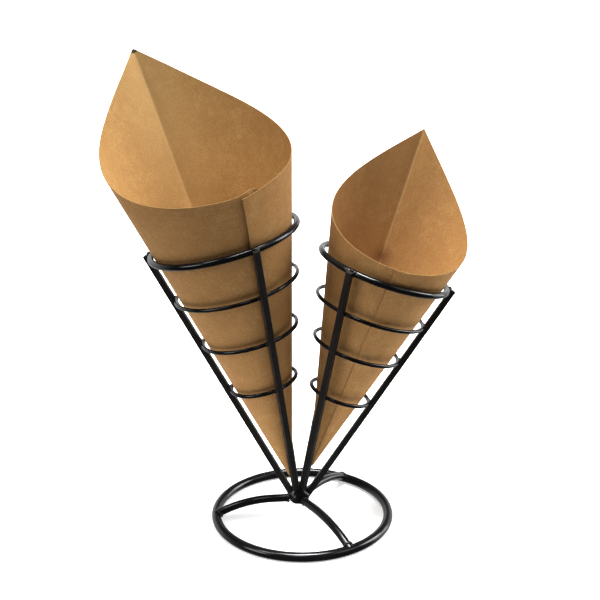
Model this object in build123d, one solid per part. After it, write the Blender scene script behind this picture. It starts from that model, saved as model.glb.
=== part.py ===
"""Double wire stand for paper cones: a round base, three arched legs, two leaning cone cages and the two cones.

Millimetres. The origin is the centre of the base ring on the table, Z is up, the front is -Y and the two
cages lean apart along X.
"""
import os
from math import acos, asin, atan2, cos, degrees, pi, radians, sin, tan

from build123d import *

# Base ring and legs
base_ring_radius = 60.0
base_wire = 6.4
leg_wire = 5.4
leg_height = 14.7
leg_straight = 18.0
leg_start = 5.0
leg_foot_rise = 1.0
leg_angles = {"left": 180.0, "front": -63.4, "back": 54.0}

# Welded hub
hub_radius = 7.6
hub_bottom = 12.0
hub_shoulder = 17.6
hub_top = 26.0
hub_top_radius = 4.2
hub_rounding = 1.8

# Cone cages
axis_meeting_point = (-2.3, 0.0, 8.0)
bar_side = 4.0
bar_rounding = 0.5
bar_start = 9.0
bar_past_ring = 0.6
top_wire = 4.2
low_wire = 2.6
weld_bite = 0.3
cages = {
    "left": {
        "side": -1,
        "lean": 13.85,
        "ring_distances": (200.7, 168.4, 134.7, 98.2),
        "bar_radius": 52.4,
        "bar_foot_radius": -0.4,
        "bar_turns": {"outer": -8.6, "front": 111.4, "back": 244.0},
    },
    "right": {
        "side": 1,
        "lean": 18.3,
        "ring_distances": (181.0, 152.5, 124.0, 89.6),
        "bar_radius": 47.2,
        "bar_foot_radius": 0.0,
        "bar_turns": {"outer": 8.4, "front": 128.4, "back": 248.4},
    },
}

# Paper cones, each a square sheet rolled about one corner
paper_thickness = 0.5
paper_point = 5.0
paper_blank_spare = 12.0
lap_width_angle = 12.0
rim_steps = 48
papers = {
    "left": {
        "sheet": 224.2,
        "tip_angle": 44.49,
        "apex_distance": 19.8,
        "apex_outward": -0.2,
        "apex_forward": -0.8,
        "lean_outward": 0.33,
        "lean_forward": -0.11,
        "tip_turn": -70.2,
        "mouth_play": 0.9,
        "offset_share": 0.043,
        "crease_share": 0.992,
        "seam_angle": -1.0,
    },
    "right": {
        "sheet": 173.3,
        "tip_angle": 46.05,
        "apex_distance": 26.4,
        "apex_outward": -0.8,
        "apex_forward": -3.3,
        "lean_outward": 0.46,
        "lean_forward": 0.83,
        "tip_turn": -83.6,
        "mouth_play": 1.78,
        "offset_share": 0.063,
        "crease_share": 0.96,
        "seam_angle": 0.3,
    },
}


def cage_directions(cage):
    """Return the cage's axis, its outward direction and its forward direction as unit vectors."""
    lean = radians(cage["lean"])
    axis = Vector(cage["side"] * sin(lean), 0, cos(lean))
    outward = Vector(cage["side"] * cos(lean), 0, -sin(lean))
    forward = Vector(0, -1, 0)
    return axis, outward, forward


def make_base_ring():
    """The round foot: one ring of thick wire lying on the table."""
    return Pos(0, 0, base_wire / 2) * Torus(base_ring_radius, base_wire / 2)


def make_leg(angle, base_ring, hub):
    """A wire that runs level from the hub, then arches down into the base ring, coped at both ends."""
    hub_place = Vector(axis_meeting_point[0], axis_meeting_point[1], 0)
    foot = Vector(base_ring_radius * cos(radians(angle)), base_ring_radius * sin(radians(angle)), 0)
    way = foot - hub_place
    run = way.length - leg_straight
    drop = leg_height - base_wire / 2 - leg_foot_rise
    arch_radius = (run**2 + drop**2) / (2 * drop)
    arch_angle = degrees(asin(run / arch_radius))
    level = Line((leg_start, leg_height), (leg_straight, leg_height))
    arch = JernArc((leg_straight, leg_height), (1, 0), arch_radius, -arch_angle)
    leg_plane = Plane(origin=hub_place, x_dir=way, z_dir=way.cross(Vector(0, 0, 1)))
    path = leg_plane * Wire([level.edge(), arch.edge()])
    section = Plane(origin=path.position_at(0), z_dir=way) * Circle(leg_wire / 2)
    return sweep(section, path=path) - base_ring - hub


def make_hub():
    """The domed weld mass in which the legs and the bars of both cages end."""
    wall_height = hub_shoulder - hub_bottom
    cap_height = hub_top - hub_shoulder
    wall = Pos(0, 0, hub_bottom + wall_height / 2) * Cylinder(hub_radius, wall_height)
    cap = Pos(0, 0, hub_shoulder + cap_height / 2) * Cone(hub_radius, hub_top_radius, cap_height)
    hub = Pos(axis_meeting_point[0], axis_meeting_point[1], 0) * (wall + cap)
    return fillet(hub.edges().filter_by(GeomType.CIRCLE), hub_rounding)


def ring_centre_radius(cage, number):
    """Centreline radius of a ring that sits against the inside of the bars."""
    distances = cage["ring_distances"]
    share = distances[number] / distances[0]
    bar_radius = cage["bar_foot_radius"] + (cage["bar_radius"] - cage["bar_foot_radius"]) * share
    wire = top_wire if number == 0 else low_wire
    seat = (bar_side + wire) / 2 - weld_bite
    return bar_radius - seat


def make_ring(cage, number):
    """One wire ring of a cage, square to the cage's axis."""
    axis, outward, forward = cage_directions(cage)
    wire = top_wire if number == 0 else low_wire
    centre = Vector(*axis_meeting_point) + axis * cage["ring_distances"][number]
    place = Plane(origin=centre, x_dir=outward, z_dir=axis)
    return place.location * Torus(ring_centre_radius(cage, number), wire / 2)


def make_bar(cage, turn, rings, supports):
    """One straight square bar along the outside of a cage, notched where the rings are welded in."""
    axis, outward, forward = cage_directions(cage)
    angle = radians(turn)
    radial = outward * cos(angle) + forward * sin(angle)
    apex = Vector(*axis_meeting_point)
    top = apex + axis * cage["ring_distances"][0] + radial * cage["bar_radius"]
    foot = apex + radial * cage["bar_foot_radius"]
    along = (top - foot).normalized()
    length = (top - foot).length + bar_past_ring - bar_start
    blank = Pos(0, 0, bar_start + length / 2) * Box(bar_side, bar_side, length)
    blank = fillet(blank.edges().filter_by(Axis.Z), bar_rounding)
    bar = Plane(origin=foot, x_dir=radial, z_dir=along).location * blank
    return bar - rings - supports


def paper_slopes(cage, paper):
    """Growth of a paper cone per millimetre of its axis: round front's radius and offset, and the crease's reach.

    The round front has a little play inside the top ring of its cage.
    """
    ring_inside = ring_centre_radius(cage, 0) - top_wire / 2
    radius = (ring_inside - paper["mouth_play"]) / (cage["ring_distances"][0] - paper["apex_distance"])
    return radius, radius * paper["offset_share"], radius * paper["crease_share"]


def paper_outline(slopes, distance):
    """Closed cross-section of a paper cone: a round front and two straight panels meeting in a crease."""
    radius, offset, reach = [slope * distance for slope in slopes]
    touch = acos(radius / (reach + offset))
    upper = (radius * cos(touch) - offset, radius * sin(touch))
    lower = (upper[0], -upper[1])
    crease = (reach, 0)
    front = ThreePointArc(upper, (-offset - radius, 0), lower)
    return make_face(front + Line(lower, crease) + Line(crease, upper))


def sheet_edge(paper, slopes):
    """Side view of the rim, from the front seam to the tip: the straight edge of a square sheet, rolled up.

    A point of the cross-section lies at some angle from the seam when the sheet is laid flat. The sheet's edge
    is there at (side of the square) / cos(angle) from the bottom corner, and the tip is at about 45 degrees.
    """
    radius, offset, reach = slopes
    touch = acos(radius / (reach + offset))
    corner = (radius * cos(touch) - offset, radius * sin(touch))
    points = []
    for step in range(rim_steps + 1):
        turn = pi - (pi - touch) * step / rim_steps
        points.append((radius * cos(turn) - offset, radius * sin(turn)))
    panel_steps = rim_steps // 4
    for step in range(1, panel_steps + 1):
        part = step / panel_steps
        points.append((corner[0] + (reach - corner[0]) * part, corner[1] * (1 - part)))
    directions = [Vector(x, y, 1).normalized() for x, y in points]
    angles = [0.0]
    for before, after in zip(directions, directions[1:]):
        angles.append(angles[-1] + acos(min(1.0, before.dot(after))))
    edge = []
    for direction, angle in zip(directions, angles):
        reach_here = paper["sheet"] / cos(angle / angles[-1] * radians(paper["tip_angle"]))
        edge.append((direction.X * reach_here, direction.Z * reach_here))
    return edge


def make_paper(cage, paper, rings):
    """A rolled paper cone: thin conical wall, pointed rim, crease from the tip and a lapped seam at the front."""
    slopes = paper_slopes(cage, paper)
    edge = sheet_edge(paper, slopes)
    full = edge[-1][1] + paper_blank_spare
    outside = loft([Pos(0, 0, d) * paper_outline(slopes, d) for d in (paper_point, full)], ruled=True)
    shift = paper_thickness / sin(atan2(slopes[0] + slopes[1], 1))
    wall = outside - Pos(0, 0, shift) * outside
    wide = 2 * full
    rim = Spline(edge)
    below = rim + Polyline(
        edge[-1], (wide, edge[-1][1]), (wide, -wide), (-wide, -wide), (-wide, edge[0][1]), edge[0]
    )
    keep = extrude(Plane.XZ * make_face(below), amount=wide, both=True)
    lap_edge = wide * tan(radians(paper["seam_angle"]))
    lap_end = wide * tan(radians(paper["seam_angle"] - lap_width_angle))
    lap_wedge = extrude(make_face(Polyline((0, 0), (-wide, lap_edge), (-wide, lap_end), close=True)), amount=wide)
    lap = (Pos(0, 0, -shift) * outside - outside) & lap_wedge
    cone = (wall + lap) & keep
    axis, outward, forward = cage_directions(cage)
    apex = Vector(*axis_meeting_point) + axis * paper["apex_distance"]
    apex = apex + outward * paper["apex_outward"] + forward * paper["apex_forward"]
    paper_axis = axis + outward * radians(paper["lean_outward"]) + forward * radians(paper["lean_forward"])
    turn = radians(paper["tip_turn"])
    tip_direction = outward * cos(turn) + forward * sin(turn)
    return Plane(origin=apex, x_dir=tip_direction, z_dir=paper_axis).location * cone - rings


os.makedirs("parts", exist_ok=True)

pieces = {}
base_ring = make_base_ring()
hub = make_hub()
pieces["base_ring"] = base_ring
pieces["hub"] = hub
supports = [hub]
for place, angle in leg_angles.items():
    leg = make_leg(angle, base_ring, hub)
    supports.append(leg)
    pieces[f"leg_{place}"] = leg
for name, cage in cages.items():
    rings = [make_ring(cage, number) for number in range(len(cage["ring_distances"]))]
    for number, ring in enumerate(rings):
        pieces[f"{name}_ring_{number + 1}"] = ring
    for place, turn in cage["bar_turns"].items():
        pieces[f"{name}_bar_{place}"] = make_bar(cage, turn, rings, supports)
    pieces[f"{name}_paper_cone"] = make_paper(cage, papers[name], rings)

for name, piece in pieces.items():
    export_step(piece, f"parts/{name}.step")
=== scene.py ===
"""Looks of a black wire stand that holds two rolled paper cones.

Metres, Z up, the front is -Y. Wires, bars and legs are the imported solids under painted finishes. The paper
cones, the hub and the weld beads are surfaces worked out here from formulas, as whole arrays.
"""

import math

import bpy
import numpy as np
from mathutils import Matrix, Vector


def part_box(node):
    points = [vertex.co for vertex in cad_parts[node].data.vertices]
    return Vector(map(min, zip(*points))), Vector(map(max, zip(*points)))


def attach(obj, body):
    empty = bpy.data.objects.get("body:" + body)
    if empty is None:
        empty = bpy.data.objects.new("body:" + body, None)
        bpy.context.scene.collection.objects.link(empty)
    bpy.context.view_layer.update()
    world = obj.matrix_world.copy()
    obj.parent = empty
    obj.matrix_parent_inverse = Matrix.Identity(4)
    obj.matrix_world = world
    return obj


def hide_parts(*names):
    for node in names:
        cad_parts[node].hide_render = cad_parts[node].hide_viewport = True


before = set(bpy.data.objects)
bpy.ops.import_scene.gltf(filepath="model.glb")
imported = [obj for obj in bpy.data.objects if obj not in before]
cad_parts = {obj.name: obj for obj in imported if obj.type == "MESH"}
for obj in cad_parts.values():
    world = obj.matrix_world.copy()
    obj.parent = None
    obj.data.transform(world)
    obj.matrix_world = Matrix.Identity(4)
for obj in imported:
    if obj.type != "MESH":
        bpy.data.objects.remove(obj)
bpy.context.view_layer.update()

# Camera, fitted to the view of the stand
CAMERA_PLACE = Vector((-0.0597, -0.6955, 0.3919))
CAMERA_TARGET = Vector((0.003268, 0.052613, 0.142392))
CAMERA_ROLL = math.radians(-0.161)
CAMERA_LENS = 67.02
CAMERA_SENSOR = 36.0
VIEW_GAMMA = 0.85

# Paper: thickness, blunt point, lap of the two ends and clearance to the wire
PAPER_THICKNESS = 0.0005
PAPER_POINT = 0.0052
LAP_TURN = math.radians(12.0)
LAYER_GAP = 0.00005
RING_CLEARANCE = 0.0001

# Fold: its rounding, with the greatest flat angle that it spreads over, and the panels beside it
FOLD_WIDTH = 0.0009
FOLD_MOST_SPREAD = 0.05
FOLD_TAPS = np.array((-0.75, -0.25, 0.25, 0.75))
PANEL_SHARE = 0.3
PANEL_HOLLOW = 8.0

# Reach of what the sheet's two ends do, in widths of the lap
OUTER_RETURN = 2.2
FLAP_DROP_REACH = 2.0
FLAP_LIFT_REACH = 1.1
TUCK_PEAK = 0.25
TUCK_REACH = 1.4

# Heights where the flap comes free, the press starts and is full and the curl starts, in sides of the sheet
FLAP_FREE_FROM = 0.80
PRESS_FROM = 0.83
PRESS_FULL = 0.95
CURL_FROM = 0.975

# Grid of the sheet, with extra columns close to the fold, and steps of its section
PAPER_ROWS = 170
PAPER_COLUMNS = 190
FOLD_COLUMNS = 8
FOLD_COLUMNS_REACH = 0.0045
ARC_STEPS = 400
PANEL_STEPS = 100

# Paper cones: the cage's side and lean, the apex (along the cage's axis from the meeting point, out and
# forward), the paper's own lean (out and forward), the turn of its tip, its play in the top ring, the shares
# that give its section, and its square sheet with the angles of tip and seam. Then what its loose ends do,
# how its fold is pressed and worn (at the tip, and the share left lower down), the strength of a paler band
# of painted light beside its fold, and the tint of its inside, painted light that makes it lighter or darker
# than the outside.
MEETING_POINT = np.array((-0.0023, 0.0, 0.008))
CONES = {
    "left": {
        "side": -1,
        "lean": 13.85,
        "apex": (0.0198, -0.0002, -0.0008),
        "own_lean": (0.33, -0.11),
        "tip_turn": -70.2,
        "mouth_play": 0.0009,
        "offset_share": 0.043,
        "crease_share": 0.992,
        "sheet": 0.2242,
        "tip_angle": 44.49,
        "seam_turn": -1.0,
        "flap_lift": 0.0015,
        "flap_drop": 0.0012,
        "inner_rise": 0.0010,
        "inner_curl": 0.0012,
        "fold_press": 0.02,
        "worn_fold": (0.55, 0.2),
        # Painted light: a paler band each side of the fold brightens the panels beside it
        "painted_fold_light": 0.4,
        # Painted light: the inside is lighter and yellower than the outside
        "inside_painted_light": (1.03, 1.09, 1.09),
    },
    "right": {
        "side": 1,
        "lean": 18.3,
        "apex": (0.0264, -0.0008, -0.0033),
        "own_lean": (0.46, 0.83),
        "tip_turn": -83.6,
        "mouth_play": 0.00178,
        "offset_share": 0.063,
        "crease_share": 0.96,
        "sheet": 0.1733,
        "tip_angle": 46.05,
        "seam_turn": 0.3,
        "flap_lift": 0.0003,
        "flap_drop": 0.0002,
        "inner_rise": 0.0,
        "inner_curl": 0.0,
        "fold_press": 0.003,
        "worn_fold": (0.8, 0.9),
        "painted_fold_light": 0.0,
        # Painted shade: the inside is darker than the outside
        "inside_painted_light": (0.91, 0.90, 0.88),
    },
}
OUTSIDE_TINT = (1.0, 1.0, 1.0)

# Marks on the paper and painted shade: place along the fold, inner and outer reach, strength and colour
TIP_SPECK = (0.3143, 0.0038, 0.0046, 0.9, (0.020, 0.018, 0.016, 1))
# Painted shade: a dark red-brown patch deep in the right cone's fold, where the fold sinks into shade
PAINTED_FOLD_SHADE = (0.1575, 0.0022, 0.0105, 0.7, (0.170, 0.072, 0.032, 1))
MARK_RAGGED = 0.002
MARKS_AND_SHADE = {
    "left": {"outside": (TIP_SPECK,), "inside": (TIP_SPECK,)},
    "right": {"outside": (), "inside": (PAINTED_FOLD_SHADE,)},
}

# Cages, and the legs: plan angles, the level run, and the arch down to the foot in the base ring
CAGE_BARS = ("outer", "front", "back")
CAGE_RINGS = (1, 2, 3, 4)
TOP_RING = 1
LEG_ANGLES = (180.0, -63.4, 54.0)
LEG_STRAIGHT = 0.018
LEG_HEIGHT = 0.0147
LEG_RADIUS = 0.0027
LEG_FOOT_HEIGHT = 0.0042
BASE_RADIUS = 0.060

# Weld beads: shares are of the wire's radius, and a pair is a plain length and such a share
BEAD_ROWS = 12
BEAD_COLUMNS = 18
BEAD_SWELL = 0.10
BEAD_PHASE = 1.7
BEAD_OUT_SHARE = 0.75
BEAD_ASIDE = 0.0020
BEAD_LENGTH = (0.0008, 0.35)
BEAD_WIDTH_SHARE = 0.95
BEAD_DEPTH = (0.0005, 0.4)
TOP_BEAD_OUT_SHARE = 0.8
TOP_BEAD_UP_SHARE = 0.75
TOP_BEAD_SIZE = (0.0019, 0.0009, 0.0015)

# Weld collars: their waves, the direction that their turn is counted from, and their tubes
COLLAR_ROWS = 14
COLLAR_COLUMNS = 56
COLLAR_SWELL = 0.22
COLLAR_RIPPLE = 0.16
COLLAR_PHASE = 2.3
COLLAR_START = (0.31, 0.52, 0.79)
HUB_COLLAR_TUBE = 0.0006
FOOT_COLLAR_TUBE = 0.0008
FOOT_WELD_BACK = 0.0028

# Hub: how it narrows and closes, its lumps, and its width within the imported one
HUB_ROWS = 60
HUB_COLUMNS = 120
HUB_TAPER = 0.42
HUB_TAPER_FROM = 0.35
HUB_SQUARENESS = 5
HUB_SWELL = 0.035
HUB_RIPPLE = 0.03
HUB_WIDTH_SHARE = 0.97

# Least angle of an edge that stays sharp, and the range that most values of a noise fall in
SHARP_ANGLE = math.radians(50)
NOISE_RANGE = (0.3, 0.7)

# Paint: scales of its clouds and its uneven gloss, and depth of its orange peel
CLOUD_SCALE = 60.0
CLOUD_RANGE = (0.35, 0.7)
GLOSS_SCALE = 220.0
PAINT_DETAIL = 3.0
PEEL_DEPTH = 0.0001

# Kraft patterns: scale, detail and roughness of each noise, and stretch and turn of the fibres' two ways
KRAFT_NOISES = {
    "cloud": (45.0, 3.0, 0.55),
    "blotch": (150.0, 3.0, 0.6),
    "mottle": (380.0, 4.0, 0.6),
    "grain": (1000.0, 2.0, 0.6),
    "specks": (900.0, 1.0, 0.5),
}
FIBRE_WAYS = (((500.0, 4200.0, 1.0), 0.5), ((3800.0, 550.0, 1.0), 0.25))

# Kraft colours over the pulp's own: pattern, the range that brings the colour in, strength and colour
PULP_COLOUR = (0.432, 0.248, 0.098, 1)
KRAFT_LAYERS = (
    ("cloud", 0.30, 0.70, 1.00, (0.532, 0.323, 0.134, 1)),
    ("blotch", 0.38, 0.64, 0.80, (0.415, 0.221, 0.083, 1)),
    ("mottle", 0.35, 0.68, 0.55, (0.395, 0.220, 0.084, 1)),
    ("grain", 0.36, 0.64, 0.60, (0.300, 0.163, 0.060, 1)),
    ("fibres", 0.60, 0.75, 0.50, (0.540, 0.360, 0.175, 1)),
    ("specks", 0.72, 0.78, 0.50, (0.160, 0.080, 0.032, 1)),
)

# Wear of the fold: its reach, breaks in the worn line and its colour; then reach and colour of a paler band
# of painted light beside the fold, and growth of both towards the tip in sides of the sheet
WORN_REACH = (0.0003, 0.0012)
WORN_BREAKS = (0.3, 0.6, 1.0, 0.5)
WORN_COLOUR = (0.580, 0.400, 0.205, 1)
PAINTED_FOLD_LIGHT_REACH = (0.002, 0.03)
PAINTED_FOLD_LIGHT_COLOUR = (0.530, 0.350, 0.165, 1)
WEAR_GROWTH = (0.8, 1.15)

# Kraft surface, and the cut edge
KRAFT_ROUGHNESS = (0.7, 0.86)
KRAFT_SPECULAR = 0.25
KRAFT_BUMP = 0.25
KRAFT_BUMP_DEPTH = 0.0002
MOTTLE_HEIGHT = 0.6
EDGE_GRAIN = (1500.0, 3.0)
EDGE_RANGE = (0.35, 0.65)
EDGE_DARK = (0.215, 0.137, 0.059, 1)
EDGE_LIGHT = (0.295, 0.193, 0.086, 1)
EDGE_ROUGHNESS = (0.8, 0.95)
EDGE_SPECULAR = 0.05

# Studio: floor, round backdrop, and a glow under the stand that lights it from below
STUDIO_CORNERS = 96
FLOOR_SIZE = 30.0
FLOOR_TONE = 0.8
FLOOR_GLOW = 0.5
BACKDROP_RADIUS = 14.0
BACKDROP_HEIGHT = 14.0
BACKDROP_MIDDLE = 6.9
BACKDROP_GLOW = 1.2
TABLE_RADIUS = 0.32
TABLE_DROP = 0.001
TABLE_GLOW = 2.15
BLACK_TONE = 0.0

# Lights: name, kind, energy, place, and size in degrees for a sun or metres for an area
STAND_MIDDLE = Vector((0.0, 0.0, 0.0))
LIGHTS = (
    ("overhead softbox", "SUN", 6.7, (0.0, 0.0, 2.0), 30.0),
    ("right softbox", "SUN", 1.9, (1.8, 0.1, 1.0), 30.0),
    ("front right softbox", "SUN", 0.4, (1.3, -0.8, 1.3), 30.0),
    ("front left softbox", "SUN", 1.15, (-1.8, -0.9, 0.8), 30.0),
    ("front top strip", "SUN", 0.25, (-0.2, -1.0, 1.7), 12.0),
    ("left top strip", "SUN", 0.6, (-1.0, -0.4, 1.7), 14.0),
    ("right panel", "AREA", 15.0, (2.0, 0.45, 0.25), 1.2),
)

# World light, most of it from behind: ranges of a direction's Y or Z, and the strengths at their ends
SKY_BEHIND = (-0.1, 0.5, 0.0, 1.3)
SKY_HIGH = (0.28, 0.5, 1.0, 0.12)
SKY_BELOW = (-0.2, 0.05, 0.65, 1.0)


def smooth_step(low, high, value):
    """Ease from 0 at low to 1 at high with the curve 3t^2 - 2t^3."""
    share = np.clip((value - low) / (high - low), 0.0, 1.0)
    return share * share * (3.0 - 2.0 * share)


def unit(vector):
    """The same direction with length one, along the last axis."""
    return vector / np.linalg.norm(vector, axis=-1, keepdims=True)


def whole_turn(steps):
    """Angles round a whole turn in even steps, without its end."""
    return np.linspace(0.0, 2.0 * math.pi, steps, endpoint=False)


def node_points(name):
    """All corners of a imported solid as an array."""
    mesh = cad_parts[name].data
    points = np.empty(len(mesh.vertices) * 3, np.float32)
    mesh.vertices.foreach_get("co", points)
    return points.reshape(-1, 3).astype(float)


def measure_ring(name):
    """Centre, axis, centreline radius and wire radius of a wire ring, from its solid.

    The axis is the direction in which the corners spread least. Half the sum and half the difference of the
    greatest and least reach from the axis are the two radii.
    """
    points = node_points(name)
    centre = (points.max(axis=0) + points.min(axis=0)) / 2
    axis = np.linalg.svd(points - centre, full_matrices=False)[2][2]
    axis = axis * np.sign(axis[2])
    height = (points - centre) @ axis
    reach = np.linalg.norm(points - centre - height[:, None] * axis, axis=1)
    return centre, axis, (reach.max() + reach.min()) / 2, (reach.max() - reach.min()) / 2


def measure_bar(name):
    """Middle and direction of a straight bar, from its solid: the direction is that of greatest spread."""
    points = node_points(name)
    middle = points.mean(axis=0)
    along = np.linalg.svd(points - middle, full_matrices=False)[2][0]
    along = along * np.sign(along[2])
    return middle, along


def make_piece(name, points, faces, material):
    """Put computed corners and faces into a smooth mesh that sits at the origin and rides on the stand."""
    mesh = bpy.data.meshes.new(name)
    mesh.from_pydata(points.reshape(-1, 3).tolist(), [], faces.tolist())
    mesh.polygons.foreach_set("use_smooth", np.ones(len(mesh.polygons), dtype=bool))
    mesh.set_sharp_from_angle(angle=SHARP_ANGLE)
    mesh.materials.append(material)
    piece = bpy.data.objects.new(name, mesh)
    bpy.context.scene.collection.objects.link(piece)
    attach(piece, "root")
    return piece


def repeat_faces(faces, corners, copies):
    """The faces of one shape, repeated for copies of it that have that many corners each."""
    shift = corners * np.arange(copies)
    return (faces[None] + shift[:, None, None]).reshape(-1, 4)


# Paper cones


def cone_frame(cone):
    """Point and directions of a paper cone: its tip's side, the side across, and its axis, as columns."""
    lean = math.radians(cone["lean"])
    axis = np.array((cone["side"] * math.sin(lean), 0.0, math.cos(lean)))
    outward = np.array((cone["side"] * math.cos(lean), 0.0, -math.sin(lean)))
    forward = np.array((0.0, -1.0, 0.0))
    along, out, fore = cone["apex"]
    apex = MEETING_POINT + axis * along + outward * out + forward * fore
    lean_out, lean_fore = np.radians(cone["own_lean"])
    paper_axis = unit(axis + outward * lean_out + forward * lean_fore)
    turn = math.radians(cone["tip_turn"])
    tip_side = outward * math.cos(turn) + forward * math.sin(turn)
    tip_side = unit(tip_side - paper_axis * (tip_side @ paper_axis))
    return apex, np.stack((tip_side, np.cross(paper_axis, tip_side), paper_axis), axis=1)


def cone_slopes(cone, top_ring):
    """Growth of a cone per unit of its axis: round front's radius and offset, and the crease's reach."""
    centre, _, radius, wire = top_ring
    along = np.linalg.norm(centre - MEETING_POINT) - cone["apex"][0]
    round_slope = (radius - wire - cone["mouth_play"]) / along
    return round_slope, round_slope * cone["offset_share"], round_slope * cone["crease_share"]


def half_section(slopes):
    """Rays from the cone's point along half of its section, from seam to crease, and their flat angles.

    The section one unit from the point is an arc about (-offset, 0) and a straight panel that leaves it as a
    tangent and ends in the crease. The flat angle is the sum of the angles between neighbouring rays, which
    is where each ray lies on the unrolled sheet.
    """
    radius, offset, reach = slopes
    touch = math.acos(radius / (reach + offset))
    turn = np.linspace(math.pi, touch, ARC_STEPS)
    arc = np.stack((radius * np.cos(turn) - offset, radius * np.sin(turn)), axis=1)
    share = np.linspace(0.0, 1.0, PANEL_STEPS)[1:, None]
    panel = arc[-1] * (1.0 - share) + np.array((reach, 0.0)) * share
    outline = np.vstack((arc, panel))
    rays = unit(np.column_stack((outline, np.ones(len(outline)))))
    steps = np.linalg.norm(np.diff(rays, axis=0), axis=1)
    return rays, np.concatenate(((0.0,), np.cumsum(steps)))


def rays_at(around, rays, angles):
    """Rays at any flat angles from the seam: the half section, mirrored behind the crease and repeated."""
    half = angles[-1]
    wrapped = np.mod(around, 2.0 * half)
    folded = half - np.abs(wrapped - half)
    side = np.where(wrapped < half, -1.0, 1.0)
    x = np.interp(folded, angles, rays[:, 0])
    y = np.interp(folded, angles, rays[:, 1]) * side
    z = np.interp(folded, angles, rays[:, 2])
    return unit(np.stack((x, y, z), axis=-1))


def paper_columns(start, end, crease):
    """Flat angles of the sheet's columns: even steps, with extra ones close to the crease."""
    even = np.linspace(start, end, PAPER_COLUMNS)
    near = FOLD_COLUMNS_REACH * np.linspace(-1.0, 1.0, 2 * FOLD_COLUMNS + 1) ** 3
    return np.unique(np.concatenate((even, crease + near)))


def surface_normals(surface):
    """Outward normals of a grid of points: the cross product of its steps along rows and columns."""
    return unit(np.cross(np.gradient(surface, axis=1), np.gradient(surface, axis=0)))


def give_way(surface, normals, rings):
    """The sheet moved in by the depth that it would otherwise reach into the wire of each ring."""
    for centre, axis, radius, wire in rings:
        from_centre = surface - centre
        height = from_centre @ axis
        reach = np.linalg.norm(from_centre - height[:, :, None] * axis, axis=2)
        room = np.hypot(reach - radius, height) - wire - PAPER_THICKNESS / 2 - RING_CLEARANCE
        surface = surface + normals * np.minimum(room, 0.0)[:, :, None]
    return surface


def rolled_sheet(cone, rings):
    """Middle surface of a rolled sheet, its outward normals and its flat coordinates, as rows by columns.

    A point lies at a flat angle round the sheet and a distance from the bottom corner. The rim is the
    sheet's straight edge, side / cos(angle from the seam), a little lower at the outer end and higher at the
    tucked inner end. The fold is rounded by averaging neighbouring rays. Near the mouth it is pressed out by
    (1 - t)^2 (1 - hollow t), with t from 0 in the fold to 1 at the panel's end, which flattens the panels
    beside it. Where the two ends lap, the outer one stands one layer out and eases back beyond the lap. Near
    the mouth the outer end lifts, and close to the rim the inner end curls in with the square of its height.
    At last the sheet gives way to the rings.
    """
    sheet = cone["sheet"]
    slopes = cone_slopes(cone, rings[0])
    rays, angles = half_section(slopes)
    half = angles[-1]
    front = slopes[0] + slopes[1]
    flat_per_turn = front / math.hypot(1.0, front)
    start = -math.radians(cone["seam_turn"]) * flat_per_turn
    lap = LAP_TURN * flat_per_turn
    end = start + 2.0 * half + lap
    around = paper_columns(start, end, half)
    from_edge = around - start
    to_end = end - around

    folded = half - np.abs(np.mod(around, 2.0 * half) - half)
    rim = sheet / np.cos(folded / half * math.radians(cone["tip_angle"]))
    rim = rim - cone["flap_drop"] * (1.0 - smooth_step(0.0, FLAP_DROP_REACH * lap, from_edge))
    tuck_start = smooth_step(0.0, TUCK_PEAK * lap, to_end)
    tuck = tuck_start * (1.0 - smooth_step(TUCK_PEAK * lap, TUCK_REACH * lap, to_end))
    rim = rim + cone["inner_rise"] * tuck
    share = np.linspace(0.0, 1.0, PAPER_ROWS)[:, None]
    distance = PAPER_POINT + (rim[None, :] - PAPER_POINT) * share

    spread = np.minimum(FOLD_WIDTH / distance, FOLD_MOST_SPREAD)
    neighbours = around[None, :, None] + spread[:, :, None] * FOLD_TAPS
    directions = rays_at(neighbours, rays, angles).mean(axis=2)
    apex, axes = cone_frame(cone)
    middle = apex + (directions * distance[:, :, None]) @ axes.T
    panel = np.minimum((half - folded) / (half * PANEL_SHARE), 1.0)
    press = cone["fold_press"] * (1.0 - panel) ** 2 * (1.0 - PANEL_HOLLOW * panel)
    near_mouth = smooth_step(PRESS_FROM * sheet, PRESS_FULL * sheet, distance)
    pressed_out = distance * slopes[0] * press * near_mouth
    middle = middle + surface_normals(middle) * pressed_out[:, :, None]

    normals = surface_normals(middle)
    layer = PAPER_THICKNESS + LAYER_GAP
    out = layer * (1.0 - smooth_step(lap, OUTER_RETURN * lap, from_edge))[None, :] - PAPER_THICKNESS / 2
    free = np.sqrt(smooth_step(FLAP_FREE_FROM * sheet, sheet, distance))
    flap = 1.0 - smooth_step(0.0, FLAP_LIFT_REACH * lap, from_edge)
    lift = cone["flap_lift"] * flap[None, :] * free
    near_rim = np.maximum(distance / sheet - CURL_FROM, 0.0) / (1.0 - CURL_FROM)
    curl = cone["inner_curl"] * tuck[None, :] * near_rim**2
    middle = give_way(middle + normals * (out + lift - curl)[:, :, None], normals, rings)
    flat = np.stack((distance * np.cos(around - half), distance * np.sin(around - half)), axis=-1)
    return middle, normals, flat


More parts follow.
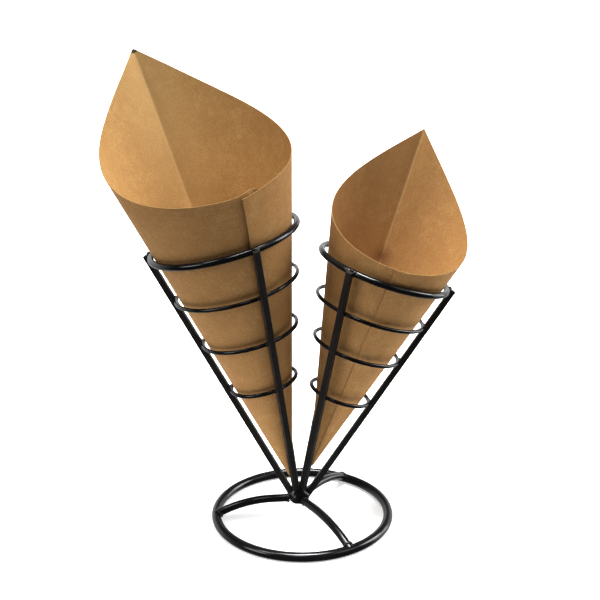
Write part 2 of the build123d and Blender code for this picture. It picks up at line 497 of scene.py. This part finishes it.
def make_paper_cone(name, cone, rings, outside_material, inside_material, edge_material):
    """A rolled sheet with its thickness: the middle surface set out and in, joined along all its edges."""
    middle, normals, flat = rolled_sheet(cone, rings)
    rows, columns = middle.shape[:2]
    outside = middle + normals * PAPER_THICKNESS / 2
    inside = middle - normals * PAPER_THICKNESS / 2
    points = np.concatenate((outside, inside[::-1]))
    flat = np.concatenate((flat, flat[::-1]))
    index = np.arange(2 * rows * columns).reshape(2 * rows, columns)
    above = np.roll(index, -1, axis=0)
    round_faces = np.stack((index[:, :-1], index[:, 1:], above[:, 1:], above[:, :-1]), axis=-1)
    outer = index[:rows]
    inner = index[rows:][::-1]
    first = np.stack((outer[:-1, 0], outer[1:, 0], inner[1:, 0], inner[:-1, 0]), axis=-1)
    last = np.stack((outer[:-1, -1], inner[:-1, -1], inner[1:, -1], outer[1:, -1]), axis=-1)
    faces = np.concatenate((round_faces.reshape(-1, 4), first, last))
    piece = make_piece(name, points, faces, outside_material)
    mesh = piece.data
    mesh.materials.append(edge_material)
    mesh.materials.append(inside_material)
    outside_slot, edge_slot, inside_slot = range(3)
    slots = np.full((2 * rows, columns - 1), outside_slot, np.int32)
    slots[rows:] = inside_slot
    slots[rows - 1] = edge_slot
    slots[-1] = edge_slot
    end_slots = np.full(len(first) + len(last), edge_slot, np.int32)
    mesh.polygons.foreach_set("material_index", np.concatenate((slots.ravel(), end_slots)))
    corner = np.empty(len(mesh.loops), np.int32)
    mesh.loops.foreach_get("vertex_index", corner)
    flat_corners = flat.reshape(-1, 2)[corner].astype(np.float32)
    mesh.uv_layers.new(name="sheet").data.foreach_set("uv", flat_corners.ravel())
    return piece


# Weld beads and hub


def make_beads(name, places, directions, sizes, material):
    """Many lumpy beads as one piece: spheres by latitude and longitude, stretched along three directions.

    A bead's radius swells and sinks by a few waves round it, with a phase of its own.
    """
    latitude = np.linspace(0.0, math.pi, BEAD_ROWS)[:, None]
    longitude = whole_turn(BEAD_COLUMNS)[None, :]
    ball = np.stack(
        (
            np.sin(latitude) * np.cos(longitude),
            np.sin(latitude) * np.sin(longitude),
            np.cos(latitude) * np.ones_like(longitude),
        ),
        axis=-1,
    )
    phase = BEAD_PHASE * np.arange(len(places))[:, None, None]
    slanted = np.sin(2.0 * longitude + 3.0 * latitude + phase)
    upright = np.sin(3.0 * longitude - phase) * np.sin(latitude)
    swell = 1.0 + BEAD_SWELL * (slanted + upright) * np.sin(latitude)
    local = ball[None] * swell[..., None] * np.asarray(sizes)[:, None, None, :]
    turned = np.einsum("brck,bkd->brcd", local, np.asarray(directions))
    points = np.asarray(places)[:, None, None, :] + turned
    index = np.arange(BEAD_ROWS * BEAD_COLUMNS).reshape(BEAD_ROWS, BEAD_COLUMNS)
    right = np.roll(index, -1, axis=1)
    faces = np.stack((index[:-1], index[1:], right[1:], right[:-1]), axis=-1).reshape(-1, 4)
    piece = make_piece(name, points, repeat_faces(faces, index.size, len(places)), material)
    return piece


def cage_beads(side, material):
    """Two beads where each ring of a cage leaves the inner face of each bar, and one above the top ring."""
    places, directions, sizes = [], [], []
    for number in CAGE_RINGS:
        centre, axis, radius, wire = measure_ring(f"{side}_ring_{number}")
        length = BEAD_LENGTH[0] + BEAD_LENGTH[1] * wire
        depth = BEAD_DEPTH[0] + BEAD_DEPTH[1] * wire
        for bar in CAGE_BARS:
            middle, along = measure_bar(f"{side}_bar_{bar}")
            crossing = middle + along * ((centre - middle) @ axis) / (along @ axis)
            radial = unit(crossing - centre)
            tangent = np.cross(axis, radial)
            seat = centre + radial * (radius + BEAD_OUT_SHARE * wire)
            for hand in (-1.0, 1.0):
                places.append(seat + tangent * hand * BEAD_ASIDE)
                directions.append((tangent, axis, radial))
                sizes.append((length, BEAD_WIDTH_SHARE * wire, depth))
            if number == TOP_RING:
                top_seat = centre + radial * (radius + TOP_BEAD_OUT_SHARE * wire)
                places.append(top_seat + axis * TOP_BEAD_UP_SHARE * wire)
                directions.append((tangent, axis, radial))
                sizes.append(TOP_BEAD_SIZE)
    return make_beads(f"{side}_cage_welds", places, directions, sizes, material)


def make_collars(name, places, directions, radii, tubes, material):
    """Lumpy weld collars as one piece: rings whose tube swells and sinks, each with a phase of its own."""
    round_turn = whole_turn(COLLAR_COLUMNS)[None, None, :]
    tube_turn = whole_turn(COLLAR_ROWS)[None, :, None]
    phase = COLLAR_PHASE * np.arange(len(places))[:, None, None]
    swell = COLLAR_SWELL * np.sin(5.0 * round_turn + phase)
    ripple = COLLAR_RIPPLE * np.sin(8.0 * round_turn + tube_turn - phase)
    tube = np.asarray(tubes)[:, None, None] * (1.0 + swell + ripple)
    along = unit(np.asarray(directions))
    across = unit(np.cross(along, COLLAR_START))
    other = np.cross(along, across)
    across_part = across[:, None, None] * np.cos(round_turn)[..., None]
    other_part = other[:, None, None] * np.sin(round_turn)[..., None]
    reach = np.asarray(radii)[:, None, None] + tube * np.cos(tube_turn)
    rise = (tube * np.sin(tube_turn))[..., None] * along[:, None, None]
    points = np.asarray(places)[:, None, None] + (across_part + other_part) * reach[..., None] + rise
    index = np.arange(COLLAR_ROWS * COLLAR_COLUMNS).reshape(COLLAR_ROWS, COLLAR_COLUMNS)
    right = np.roll(index, -1, axis=1)
    above = np.roll(index, -1, axis=0)
    faces = np.stack((index, right, np.roll(right, -1, axis=0), above), axis=-1).reshape(-1, 4)
    piece = make_piece(name, points, repeat_faces(faces, index.size, len(places)), material)
    return piece


def leg_collars(material):
    """Collars where each leg leaves the hub and where its arch runs into the base ring."""
    places, directions, radii, tubes = [], [], [], []
    hub_low, hub_high = (np.array(corner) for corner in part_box("hub"))
    hub_middle = (hub_low + hub_high) / 2
    hub_reach = (hub_high[0] - hub_low[0]) / 2
    level_only = np.array((1.0, 1.0, 0.0))
    upright = np.array((0.0, 0.0, 1.0))
    for angle in LEG_ANGLES:
        turn = math.radians(angle)
        foot = BASE_RADIUS * np.array((math.cos(turn), math.sin(turn), 0.0))
        way = (foot - hub_middle) * level_only
        run = np.linalg.norm(way) - LEG_STRAIGHT
        drop = LEG_HEIGHT - LEG_FOOT_HEIGHT
        fall = 2.0 * math.atan2(drop, run)
        level = unit(way)
        down = level * math.cos(fall) - upright * math.sin(fall)
        end = foot + upright * LEG_FOOT_HEIGHT
        places.append(hub_middle * level_only + level * hub_reach + upright * LEG_HEIGHT)
        directions.append(level)
        places.append(end - down * FOOT_WELD_BACK)
        directions.append(down)
        radii.extend((LEG_RADIUS, LEG_RADIUS))
        tubes.extend((HUB_COLLAR_TUBE, FOOT_COLLAR_TUBE))
    return make_collars("leg_welds", places, directions, radii, tubes, material)


def make_hub(material):
    """The weld mass: a barrel that narrows upwards, closed by a superellipse, with lumps in its wall."""
    low, high = (np.array(corner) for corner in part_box("hub"))
    centre = (low + high) / 2
    widest = (high[0] - low[0]) / 2
    share = np.sin(np.linspace(-math.pi / 2, math.pi / 2, HUB_ROWS))[:, None] / 2 + 0.5
    turn = whole_turn(HUB_COLUMNS)[None, :]
    taper = 1.0 - HUB_TAPER * smooth_step(HUB_TAPER_FROM, 1.0, share)
    closing = (1.0 - np.abs(2.0 * share - 1.0) ** HUB_SQUARENESS) ** (1.0 / HUB_SQUARENESS)
    swell = HUB_SWELL * np.sin(3.0 * turn + 7.0 * share)
    ripple = HUB_RIPPLE * np.sin(5.0 * turn - 9.0 * share + 1.0)
    radius = widest * taper * closing * (1.0 + swell + ripple) * HUB_WIDTH_SHARE
    x = centre[0] + radius * np.cos(turn)
    y = centre[1] + radius * np.sin(turn)
    z = low[2] + (high[2] - low[2]) * share * np.ones_like(turn)
    index = np.arange(HUB_ROWS * HUB_COLUMNS).reshape(HUB_ROWS, HUB_COLUMNS)
    right = np.roll(index, -1, axis=1)
    faces = np.stack((index[:-1], right[:-1], right[1:], index[1:]), axis=-1).reshape(-1, 4)
    piece = make_piece("hub_weld", np.stack((x, y, z), axis=-1), faces, material)
    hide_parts("hub")
    return piece


# Materials


def start_material(name):
    """A new material with its node tree and shader."""
    material = bpy.data.materials.new(name)
    material.use_nodes = True
    return material, material.node_tree, material.node_tree.nodes["Principled BSDF"]


def add_node(tree, kind, inputs, **settings):
    """Add a node, set its options, and give each input a value or a link."""
    node = tree.nodes.new(kind)
    for key, value in settings.items():
        setattr(node, key, value)
    for key, value in inputs.items():
        if isinstance(value, bpy.types.NodeSocket):
            tree.links.new(value, node.inputs[key])
        else:
            node.inputs[key].default_value = value
    return node


def noise(tree, vector, scale, detail=2.0, roughness=0.5):
    """Noise from 0 to 1 over a vector."""
    inputs = {"Vector": vector, "Scale": scale, "Detail": detail, "Roughness": roughness}
    return add_node(tree, "ShaderNodeTexNoise", inputs).outputs["Fac"]


def stretch(tree, vector, scale, turn):
    """A vector scaled by different amounts along two directions, after a turn."""
    inputs = {"Vector": vector, "Scale": scale, "Rotation": (0.0, 0.0, turn)}
    return add_node(tree, "ShaderNodeMapping", inputs).outputs["Vector"]


def ramp(tree, value, from_low, from_high, to_low, to_high):
    """A value carried from one range to another and held at its ends."""
    ends = {"From Min": from_low, "From Max": from_high, "To Min": to_low, "To Max": to_high}
    return add_node(tree, "ShaderNodeMapRange", {"Value": value, **ends}).outputs["Result"]


def maths(tree, operation, first, second=0.0):
    """One sum on one or two values."""
    return add_node(tree, "ShaderNodeMath", {0: first, 1: second}, operation=operation).outputs[0]


def blend(tree, share, first, second, mode="MIX"):
    """Two colours mixed by a share."""
    inputs = {0: share, 6: first, 7: second}
    return add_node(tree, "ShaderNodeMix", inputs, data_type="RGBA", blend_type=mode).outputs[2]


def bump(tree, height, strength, distance):
    """Normals that follow a height."""
    inputs = {"Height": height, "Strength": strength, "Distance": distance}
    return add_node(tree, "ShaderNodeBump", inputs).outputs["Normal"]


def object_place(tree):
    """Coordinates in the stand's own frame."""
    return add_node(tree, "ShaderNodeTexCoord", {}).outputs["Object"]


def painted(name, dark, light, roughness, grain, bump_strength):
    """Black stoving paint: near black with a little cloud, uneven gloss and a faint skin of orange peel."""
    material, tree, shader = start_material(name)
    place = object_place(tree)
    cloud = noise(tree, place, CLOUD_SCALE, PAINT_DETAIL)
    colour = blend(tree, ramp(tree, cloud, *CLOUD_RANGE, 0.0, 1.0), dark, light)
    tree.links.new(colour, shader.inputs["Base Color"])
    gloss = noise(tree, place, GLOSS_SCALE, PAINT_DETAIL)
    tree.links.new(ramp(tree, gloss, *NOISE_RANGE, *roughness), shader.inputs["Roughness"])
    peel = noise(tree, place, grain)
    tree.links.new(bump(tree, peel, bump_strength, PEEL_DEPTH), shader.inputs["Normal"])
    return material


def kraft(name, cone, tint, marks_and_shade):
    """Brown kraft: pulp with clouds, blotches, mottle, fine grain, short fibres both ways and dark specks.

    The fold has a pale worn line and a wide paler band of painted light that brightens the panels beside it,
    which both grow towards the tip. A tint multiplies the whole, painted light that makes a cone's inside
    lighter or darker than its outside, and each mark, a dark speck or a patch of painted shade deep in a
    fold, is a spot with a ragged outline at its place along the fold.
    """
    material, tree, shader = start_material(name)
    sheet = add_node(tree, "ShaderNodeUVMap", {}, uv_map="sheet").outputs["UV"]
    patterns = {pattern: noise(tree, sheet, *values) for pattern, values in KRAFT_NOISES.items()}
    fibre_ways = [noise(tree, stretch(tree, sheet, *way), 1.0) for way in FIBRE_WAYS]
    patterns["fibres"] = maths(tree, "MAXIMUM", *fibre_ways)
    mottle = patterns["mottle"]
    pulp = PULP_COLOUR
    for pattern, low, high, strength, colour in KRAFT_LAYERS:
        pulp = blend(tree, ramp(tree, patterns[pattern], low, high, 0.0, strength), pulp, colour)

    parts = add_node(tree, "ShaderNodeSeparateXYZ", {"Vector": sheet})
    from_fold = maths(tree, "ABSOLUTE", parts.outputs["Y"])
    worn_most, share_low_down = cone["worn_fold"]
    growth_start, growth_end = (share * cone["sheet"] for share in WEAR_GROWTH)
    toward_tip = ramp(tree, parts.outputs["X"], growth_start, growth_end, share_low_down, 1.0)
    worn = ramp(tree, from_fold, *WORN_REACH, worn_most, 0.0)
    worn = maths(tree, "MULTIPLY", worn, ramp(tree, mottle, *WORN_BREAKS))
    worn = maths(tree, "MULTIPLY", worn, toward_tip)
    pulp = blend(tree, worn, pulp, WORN_COLOUR)
    # Painted light: a paler band each side of the fold, brightening the panels beside it
    painted_fold_light = ramp(tree, from_fold, *PAINTED_FOLD_LIGHT_REACH, cone["painted_fold_light"], 0.0)
    pulp = blend(tree, maths(tree, "MULTIPLY", painted_fold_light, toward_tip), pulp, PAINTED_FOLD_LIGHT_COLOUR)
    # Painted light and shade: the tint makes a cone's inside lighter or darker than its outside
    pulp = blend(tree, 1.0, pulp, (*tint, 1), "MULTIPLY")
    # Each mark is a dark speck or a patch of painted shade deep in the fold
    for place, core, reach, strength, colour in marks_and_shade:
        ends = {0: sheet, 1: (place, 0.0, 0.0)}
        distance = add_node(tree, "ShaderNodeVectorMath", ends, operation="DISTANCE").outputs["Value"]
        ragged = maths(tree, "ADD", distance, maths(tree, "MULTIPLY", mottle, MARK_RAGGED))
        pulp = blend(tree, ramp(tree, ragged, core, reach, strength, 0.0), pulp, colour)
    tree.links.new(pulp, shader.inputs["Base Color"])
    tree.links.new(ramp(tree, mottle, *NOISE_RANGE, *KRAFT_ROUGHNESS), shader.inputs["Roughness"])
    shader.inputs["Specular IOR Level"].default_value = KRAFT_SPECULAR
    height = maths(tree, "ADD", patterns["fibres"], maths(tree, "MULTIPLY", mottle, MOTTLE_HEIGHT))
    tree.links.new(bump(tree, height, KRAFT_BUMP, KRAFT_BUMP_DEPTH), shader.inputs["Normal"])
    return material


def cut_paper():
    """The cut edge of kraft: darker than the faces, and dull, with the pulp showing in fine grains."""
    material, tree, shader = start_material("kraft cut edge")
    grain = noise(tree, object_place(tree), *EDGE_GRAIN)
    colour = blend(tree, ramp(tree, grain, *EDGE_RANGE, 0.0, 1.0), EDGE_DARK, EDGE_LIGHT)
    tree.links.new(colour, shader.inputs["Base Color"])
    tree.links.new(ramp(tree, grain, *NOISE_RANGE, *EDGE_ROUGHNESS), shader.inputs["Roughness"])
    shader.inputs["Specular IOR Level"].default_value = EDGE_SPECULAR
    return material


def plain_white(name, tone, glow):
    """Plain matt surface of one tone, for the studio, with a white glow of its own."""
    material, _, shader = start_material(name)
    shader.inputs["Base Color"].default_value = (tone, tone, tone, 1)
    shader.inputs["Emission Color"].default_value = (1.0, 1.0, 1.0, 1)
    shader.inputs["Emission Strength"].default_value = glow
    shader.inputs["Roughness"].default_value = 1.0
    shader.inputs["Specular IOR Level"].default_value = 0.0
    return material


# Studio


def set_stage(name, material, hidden_from):
    """Make the object that was added last a part of the studio, which some kinds of rays don't see."""
    surface = bpy.context.object
    surface.name = name
    surface.data.materials.append(material)
    for rays in hidden_from:
        setattr(surface, f"visible_{rays}", False)


def add_light(name, kind, energy, place, size):
    """A light that looks from its place at the middle of the stand; a sun's size is an angle in degrees."""
    light = bpy.data.lights.new(name, kind)
    light.energy = energy
    if kind == "SUN":
        light.angle = math.radians(size)
    else:
        light.size = size
    lamp = bpy.data.objects.new(name, light)
    lamp.location = place
    lamp.rotation_euler = (STAND_MIDDLE - Vector(place)).to_track_quat("-Z", "Y").to_euler()
    bpy.context.scene.collection.objects.link(lamp)


def light_world():
    """A white world whose light depends on the direction alone."""
    world = bpy.data.worlds.new("studio")
    bpy.context.scene.world = world
    world.use_nodes = True
    sky = world.node_tree
    background = sky.nodes["Background"]
    background.inputs["Color"].default_value = (1.0, 1.0, 1.0, 1)
    direction = add_node(sky, "ShaderNodeTexCoord", {}).outputs["Generated"]
    toward = add_node(sky, "ShaderNodeSeparateXYZ", {"Vector": direction})
    behind = ramp(sky, toward.outputs["Y"], *SKY_BEHIND)
    high = ramp(sky, toward.outputs["Z"], *SKY_HIGH)
    below = ramp(sky, toward.outputs["Z"], *SKY_BELOW)
    strength = maths(sky, "MULTIPLY", maths(sky, "MULTIPLY", behind, high), below)
    sky.links.new(strength, background.inputs["Strength"])


def add_camera():
    """The camera at its place, turned to its target and then rolled."""
    camera = bpy.data.cameras.new("camera")
    camera.lens = CAMERA_LENS
    camera.sensor_width = CAMERA_SENSOR
    holder = bpy.data.objects.new("camera", camera)
    look = (CAMERA_TARGET - CAMERA_PLACE).to_track_quat("-Z", "Y").to_matrix()
    turned = (look @ Matrix.Rotation(CAMERA_ROLL, 3, "Z")).to_4x4()
    holder.matrix_world = Matrix.Translation(CAMERA_PLACE) @ turned
    bpy.context.scene.collection.objects.link(holder)
    bpy.context.scene.camera = holder


wire_paint = painted(
    "gloss black wire",
    dark=(0.006, 0.006, 0.007, 1),
    light=(0.010, 0.010, 0.011, 1),
    roughness=(0.12, 0.2),
    grain=350.0,
    bump_strength=0.05,
)
# Near black like the wire, but a little lighter and warmer: painted reflection of the paper and the glow
# beneath
bar_paint_and_reflection = painted(
    "satin black bar",
    dark=(0.015, 0.014, 0.013, 1),
    light=(0.024, 0.022, 0.020, 1),
    roughness=(0.35, 0.5),
    grain=600.0,
    bump_strength=0.1,
)
weld_paint = painted(
    "black over weld",
    dark=(0.006, 0.006, 0.006, 1),
    light=(0.011, 0.011, 0.011, 1),
    roughness=(0.15, 0.3),
    grain=420.0,
    bump_strength=0.35,
)
kraft_edge = cut_paper()

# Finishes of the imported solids
for name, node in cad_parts.items():
    node.data.materials.clear()
    node.data.materials.append(bar_paint_and_reflection if "_bar_" in name else wire_paint)

# New pieces
for side, cone in CONES.items():
    cage_rings = [measure_ring(f"{side}_ring_{number}") for number in CAGE_RINGS]
    # One kraft for the outside and a copy for the inside, made lighter or darker as painted light
    outside_kraft = kraft(f"{side} kraft outside", cone, OUTSIDE_TINT, MARKS_AND_SHADE[side]["outside"])
    inside_kraft = kraft(f"{side} kraft inside", cone, cone["inside_painted_light"], MARKS_AND_SHADE[side]["inside"])
    rolled = make_paper_cone(f"{side}_paper", cone, cage_rings, outside_kraft, inside_kraft, kraft_edge)
    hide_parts(f"{side}_paper_cone")
    cage_beads(side, weld_paint)
leg_collars(weld_paint)
make_hub(weld_paint)

# Floor, backdrop, lights and camera
bpy.ops.mesh.primitive_plane_add(size=FLOOR_SIZE, location=(0.0, 0.0, 0.0))
floor_white = plain_white("studio floor", FLOOR_TONE, FLOOR_GLOW)
set_stage("studio_floor", floor_white, ("diffuse", "glossy", "shadow"))

bpy.ops.mesh.primitive_cylinder_add(
    vertices=STUDIO_CORNERS,
    radius=BACKDROP_RADIUS,
    depth=BACKDROP_HEIGHT,
    end_fill_type="NOTHING",
    location=(0.0, 0.0, BACKDROP_MIDDLE),
)
backdrop_white = plain_white("studio backdrop", BLACK_TONE, BACKDROP_GLOW)
set_stage("studio_backdrop", backdrop_white, ("diffuse", "glossy", "shadow"))

bpy.ops.mesh.primitive_circle_add(
    vertices=STUDIO_CORNERS, radius=TABLE_RADIUS, fill_type="NGON", location=(0.0, 0.0, -TABLE_DROP)
)
set_stage("table_glow", plain_white("table glow", BLACK_TONE, TABLE_GLOW), ("camera", "glossy", "shadow"))

for light_values in LIGHTS:
    add_light(*light_values)
light_world()
add_camera()
bpy.context.scene.view_settings.view_transform = "Standard"
bpy.context.scene.view_settings.gamma = VIEW_GAMMA
